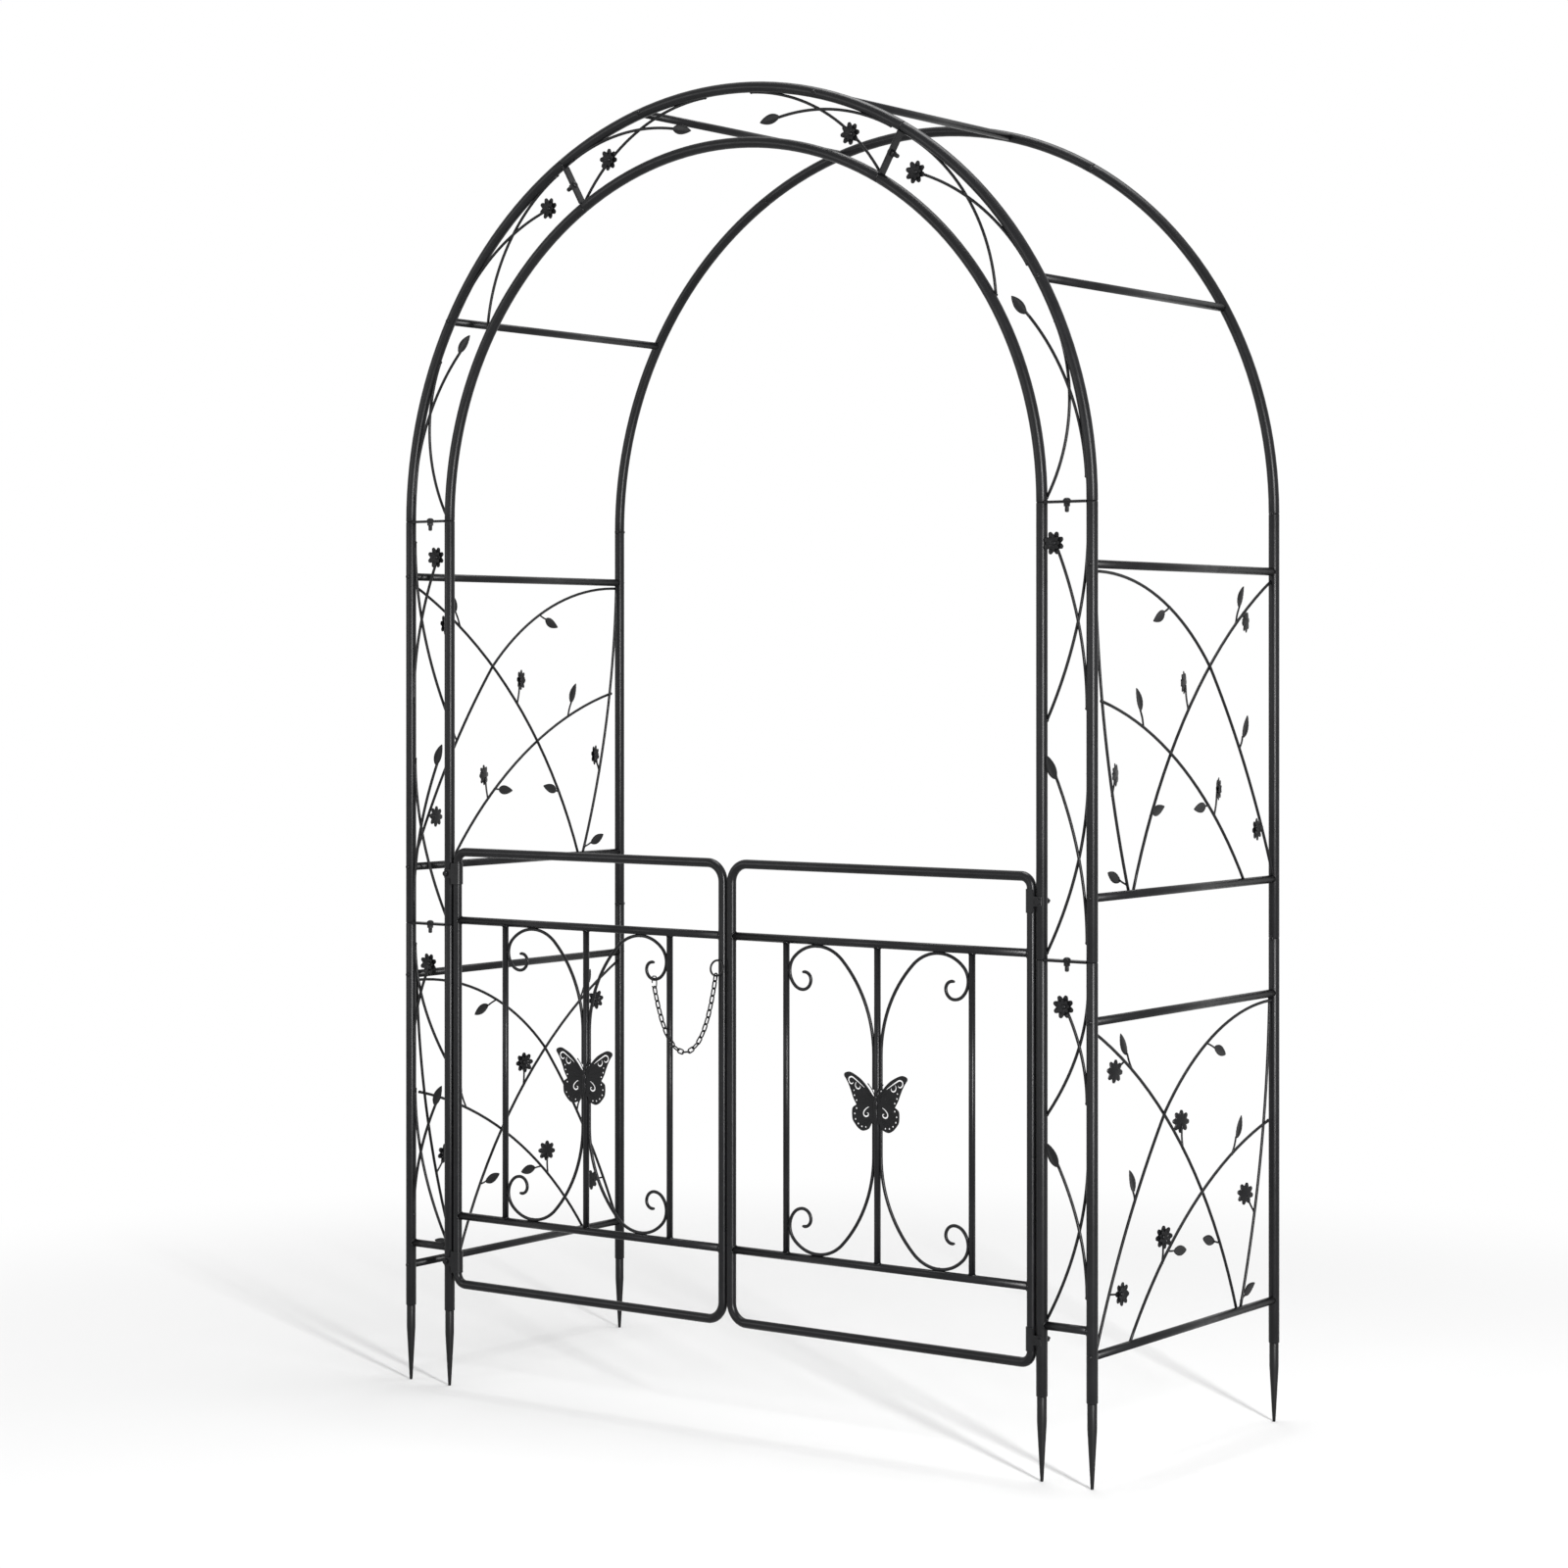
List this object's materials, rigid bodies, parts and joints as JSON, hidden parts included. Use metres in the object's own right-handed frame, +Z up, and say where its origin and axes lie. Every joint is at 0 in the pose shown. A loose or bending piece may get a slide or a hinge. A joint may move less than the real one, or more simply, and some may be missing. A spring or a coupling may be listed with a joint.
{
  "type": "garden trellis arch with gate",
  "caption": "Metal garden arch with a round top, wire trellis sides with leaves and flowers, ground spikes and a double gate held by a chain.",
  "frame": {"origin": "middle of the footprint, at the tips of the ground spikes", "axes": "+X to the right seen from the front, +Y from the gate to the back, +Z up"},
  "size_m": [1.377, 0.6075, 2.1673],
  "materials": {
    "frame_metal": "satin powder coat",
    "gate_metal": "satin powder coat",
    "wire_metal": "satin powder coat",
    "ornament_metal": "satin powder coat",
    "hardware_metal": "satin powder coat",
    "spike_metal": "satin powder coat",
    "chain_metal": "satin powder coat"
  },
  "bodies": {
    "arch": {"arch_crossbars": "frame_metal", "bottom_rungs": "frame_metal", "front_inner_arch_left": "frame_metal", "front_inner_arch_right": "frame_metal", "front_inner_arch_top": "frame_metal", "front_left_inner_lower_post": "frame_metal", "front_left_inner_middle_post": "frame_metal", "front_left_outer_lower_post": "frame_metal", "front_left_outer_middle_post": "frame_metal", "front_outer_arch_left": "frame_metal", "front_outer_arch_right": "frame_metal", "front_outer_arch_top": "frame_metal", "front_right_inner_lower_post": "frame_metal", "front_right_inner_middle_post": "frame_metal", "front_right_outer_lower_post": "frame_metal", "front_right_outer_middle_post": "frame_metal", "ground_spikes": "spike_metal", "hinge_bolts": "hardware_metal", "hinge_nuts": "hardware_metal", "hinge_straps": "hardware_metal", "joint_bolts": "hardware_metal", "joint_nuts": "hardware_metal", "joint_strips": "hardware_metal", "left_arch_wires": "wire_metal", "left_lower_panel_bars": "frame_metal", "left_lower_panel_wires": "wire_metal", "left_post_wires": "wire_metal", "left_upper_panel_bars": "frame_metal", "left_upper_panel_wires": "wire_metal", "rear_arch_left": "frame_metal", "rear_arch_right": "frame_metal", "rear_arch_top": "frame_metal", "rear_left_lower_post": "frame_metal", "rear_left_middle_post": "frame_metal", "rear_right_lower_post": "frame_metal", "rear_right_middle_post": "frame_metal", "right_arch_wires": "wire_metal", "right_lower_panel_bars": "frame_metal", "right_lower_panel_wires": "wire_metal", "right_post_wires": "wire_metal", "right_upper_panel_bars": "frame_metal", "right_upper_panel_wires": "wire_metal", "top_arch_wires": "wire_metal", "trellis_flowers": "ornament_metal", "trellis_leaves": "ornament_metal"},
    "left_gate": {"left_gate_frame": "gate_metal", "left_gate_rails": "gate_metal", "left_gate_rods": "gate_metal", "left_gate_scrolls": "gate_metal", "left_gate_butterfly": "gate_metal", "chain_ring": "chain_metal"},
    "right_gate": {"right_gate_frame": "gate_metal", "right_gate_rails": "gate_metal", "right_gate_rods": "gate_metal", "right_gate_scrolls": "gate_metal", "right_gate_butterfly": "gate_metal"},
    "chain": {"chain_links": "chain_metal", "chain_hook": "chain_metal"}
  },
  "joints": [
    {"name": "right_gate_hinge", "type": "hinge", "parent": "arch", "child": "right_gate", "pos_m": [0.574, -0.27875, 0.5435], "axis": [0, 0, 1], "range_deg": [-95, 115]},
    {"name": "left_gate_hinge", "type": "hinge", "parent": "arch", "child": "left_gate", "pos_m": [-0.574, -0.27875, 0.5435], "axis": [0, 0, 1], "range_deg": [-115, 95]},
    {"name": "chain_swing", "type": "hinge", "parent": "left_gate", "child": "chain", "pos_m": [-0.14883, -0.27875, 0.71674], "axis": [-0.9896, 0.1004, -0.1028], "range_deg": [0, 75]}
  ]
}
